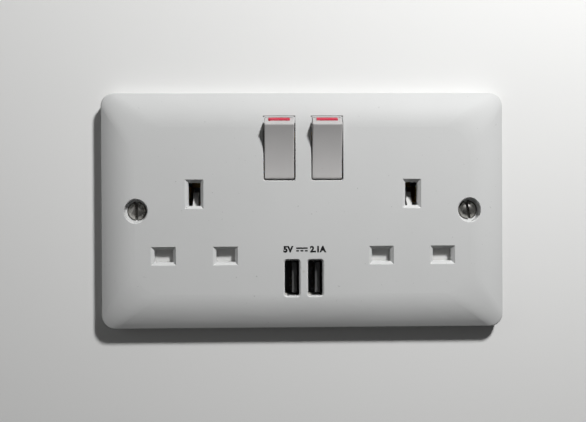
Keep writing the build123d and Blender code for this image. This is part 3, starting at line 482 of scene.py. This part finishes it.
def metal(slot, plan):
    f = Finish(slot)
    grain = f.cloud(plan["grainScale"], 4.0, 0.6, f.stretched(plan["grain"]))
    stain = f.band(f.cloud(plan["stainScale"], 4.0, 0.6), 0.5, 0.75)
    tone = f.mix(f.band(grain, 0.3, 0.7), tinted(plan["colour"], 0.82), plan["colour"])
    tone = f.mix(stain * plan["stainShare"], tone, plan["stain"])
    # painted shade in the screw slots and other hollows of the piece
    recessShade = f.recess(plan.get("slotReach", recessShadePlan["reach"]))
    chip = 0.0
    if "headShadows" in plan:  # painted shadow in a ring round the rim of each head, where the mouth shades it
        x, y, z = f.axes()
        onHead = 1.0 - f.band(y, *headShadowPlan["headBack"])
        recessShade = recessShade * onHead
        for headShadowX in plan["headShadows"]:
            far = ((x - headShadowX) ** 2.0 + z ** 2.0) ** 0.5
            near = 1.0 - f.band(far, *headShadowPlan["fades"])
            recessShade = recessShade.most(f.band(far, *headShadowPlan["starts"]) * near * onHead)
    # painted shade: slots and the ring round each head darkened towards the stain colour
    tone = f.mix(recessShade * 0.92, tone, tinted(plan["stain"], 0.15))
    if "chips" in plan:  # bare pale spots where plugs have knocked the metal
        x, _, z = f.axes()
        for chipX, chipZ, radius in plan["chips"]:
            far = ((x - chipX) ** 2.0 + (z - chipZ) ** 2.0) ** 0.5 + (grain - 0.5) * radius
            chip = (1.0 - f.band(far, radius * 0.6, radius)) + chip
        chip = chip.clipped()
        tone = f.mix(chip, tone, (0.62, 0.61, 0.57))
    # edges paler in patches: wear, and a painted highlight along the edges
    edgeWearAndSheen = f.edge(edgePlan["reach"]) * f.band(grain, 0.35, 0.6)
    tone = f.mix(edgeWearAndSheen * 0.5 * (1.0 - recessShade), tone, tinted(plan["colour"], 1.2))
    f.wear({
        "Base Color": tone,
        "Metallic": (1.0 - stain * (plan["stainShare"] * 0.5) - recessShade * 0.7 - chip).clipped(),
        "Roughness": (grain - 0.5) * 0.25 + stain * 0.15 + recessShade * 0.25 + plan["rough"],
        "Normal": f.bump(grain, plan["scratch"], 0.00005),
    })
    finishes[slot] = f
    return f


metalPlans = {
    "brass": {
        "colour": (0.72, 0.52, 0.24), "rough": 0.30, "grain": (1.0, 1.0, 9.0), "grainScale": 300.0,
        "stainScale": 180.0, "stainShare": 0.3, "stain": (0.36, 0.22, 0.10), "scratch": 0.2,
    },
    "zinc_steel": {
        "colour": (0.60, 0.60, 0.58), "rough": 0.35, "grain": (1.0, 1.0, 6.0), "grainScale": 400.0,
        "stainScale": 250.0, "stainShare": 0.25, "stain": (0.38, 0.36, 0.31), "scratch": 0.25,
    },
    "screw_nickel": {
        "colour": (0.56, 0.55, 0.52), "rough": 0.30, "grain": (4.0, 1.0, 1.0), "grainScale": 700.0,
        "stainScale": 600.0, "stainShare": 0.55, "stain": (0.20, 0.16, 0.12), "scratch": 0.5,
        "slotReach": 0.0022, "headShadows": (-0.0603, 0.0603),
    },
    "spring_steel": {
        "colour": (0.55, 0.55, 0.56), "rough": 0.28, "grain": (1.0, 1.0, 1.0), "grainScale": 900.0,
        "stainScale": 400.0, "stainShare": 0.2, "stain": (0.30, 0.28, 0.26), "scratch": 0.15,
    },
    "silvered_copper": {
        "colour": (0.78, 0.62, 0.46), "rough": 0.28, "grain": (1.0, 1.0, 8.0), "grainScale": 400.0,
        "stainScale": 260.0, "stainShare": 0.3, "stain": (0.42, 0.28, 0.18), "scratch": 0.2,
    },
    "port_steel": {
        "colour": (0.34, 0.34, 0.35), "rough": 0.36, "grain": (1.0, 9.0, 1.0), "grainScale": 600.0,
        "stainScale": 500.0, "stainShare": 0.4, "stain": (0.12, 0.11, 0.10), "scratch": 0.3,
        "chips": ((-6.6e-3, -30.4e-3, 0.0009), (1.8e-3, -30.4e-3, 0.0014)),
    },
    # near black rather than gold: painted shade on the contacts inside the port
    "contact_gold": {
        "colour": (0.10, 0.08, 0.05), "rough": 0.34, "grain": (1.0, 9.0, 1.0), "grainScale": 800.0,
        "stainScale": 600.0, "stainShare": 0.3, "stain": (0.30, 0.20, 0.10), "scratch": 0.2,
    },
}

for slotName, slotPlan in metalPlans.items():
    metal(slotName, slotPlan)


def dressSolids():
    missing = set()
    for piece in nodes.values():
        for slot in piece.material_slots:
            slotName = slot.material.name.split(".")[0]
            if slotName in finishes:
                slot.material = finishes[slotName].material
            else:
                missing.add(slotName)
    print("solids dressed; without a finish:", sorted(missing))


dressSolids()


# springs copied from their solids and attached to the body of their shutter or plunger

def fitSprings():
    for joint in frame["joints"]:
        for entry in joint.get("deforming_nodes", []):
            node = nodes[entry["node"]]
            coil = bpy.data.objects.new(entry["node"] + "_coil", node.data.copy())
            coil.data.transform(node.matrix_world)
            bpy.context.scene.collection.objects.link(coil)
            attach(coil, node["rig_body"])
            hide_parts(entry["node"])
            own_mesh(coil)


fitSprings()
print("springs fitted")


# rating printed on the plate

printPlan = {
    "ink": (0.006, 0.006, 0.007),
    "thick": 0.00002,
    "bolder": 0.00020,
    "foot": -0.01513,
    "capHeight": 0.0024,
    "words": (("5V", -0.00732, 0.0037), ("2.1A", 0.00228, 0.0059)),
    "sign": (-0.00268, 0.00415),
}


def plateFace(x, z):
    plate = nodes["front_plate"]
    hit, place, _, _ = plate.ray_cast(Vector((x, -0.05, z)), Vector((0.0, 1.0, 0.0)))
    return place.y


def inkShape(piece):
    piece.data.materials.append(inkFinish.material)
    bpy.context.scene.collection.objects.link(piece)
    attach(piece, "case")


def printWord(name, text, left, wide, plan):
    curve = bpy.data.curves.new(name, "FONT")
    curve.body = text
    curve.size = plan["capHeight"] / 0.7
    curve.extrude = plan["thick"]
    curve.offset = plan["bolder"]
    piece = bpy.data.objects.new(name, curve)
    bpy.context.scene.collection.objects.link(piece)
    bpy.context.view_layer.update()
    corners = [Vector(c) for c in piece.bound_box]
    low = Vector([min(c[i] for c in corners) for i in range(3)])
    high = Vector([max(c[i] for c in corners) for i in range(3)])
    scaleX = wide / (high.x - low.x)
    scaleZ = plan["capHeight"] / (high.y - low.y)
    faceY = plateFace(left + wide / 2, plan["foot"] + plan["capHeight"] / 2)
    piece.rotation_euler = (math.pi / 2, 0.0, 0.0)
    piece.scale = (scaleX, scaleZ, 1.0)
    piece.location = (left - low.x * scaleX, faceY, plan["foot"] - low.y * scaleZ)
    curve.materials.append(inkFinish.material)
    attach(piece, "case")


def printSign(plan):
    left, wide = plan["sign"]
    rows = [(0.0, wide, 0.00130, 0.00055)]
    dash = wide / 4
    for i in range(3):
        rows.append((i * (wide - dash) / 2, dash, 0.00038, 0.00052))
    mesh = bmesh.new()
    for start, length, rise, thick in rows:
        x0, z0 = left + start, plan["foot"] + rise
        faceY = plateFace(x0 + length / 2, z0)
        bar = bmesh.ops.create_cube(mesh, size=1.0)["verts"]
        for v in bar:
            v.co = Vector((
                x0 + (v.co.x + 0.5) * length,
                faceY + v.co.y * plan["thick"] * 2,
                z0 + (v.co.z + 0.5) * thick,
            ))
    data = bpy.data.meshes.new("rating_sign")
    mesh.to_mesh(data)
    mesh.free()
    inkShape(bpy.data.objects.new("rating_sign", data))


inkFinish = moulded("printInk", {
    "colour": printPlan["ink"], "gloss": 0.4, "rough": 0.5, "roughSwing": 0.2,
    "toneScale": 900.0, "toneSwing": 0.3, "dustScale": 2500.0, "dustEdge": 0.68, "dustShare": 0.0,
    "rubScale": 800.0, "peelScale": 2500.0, "peel": 0.2,
})
for wordIndex, (text, left, wide) in enumerate(printPlan["words"]):
    printWord("rating_word_" + str(wordIndex), text, left, wide, printPlan)
printSign(printPlan)
print("rating printed")
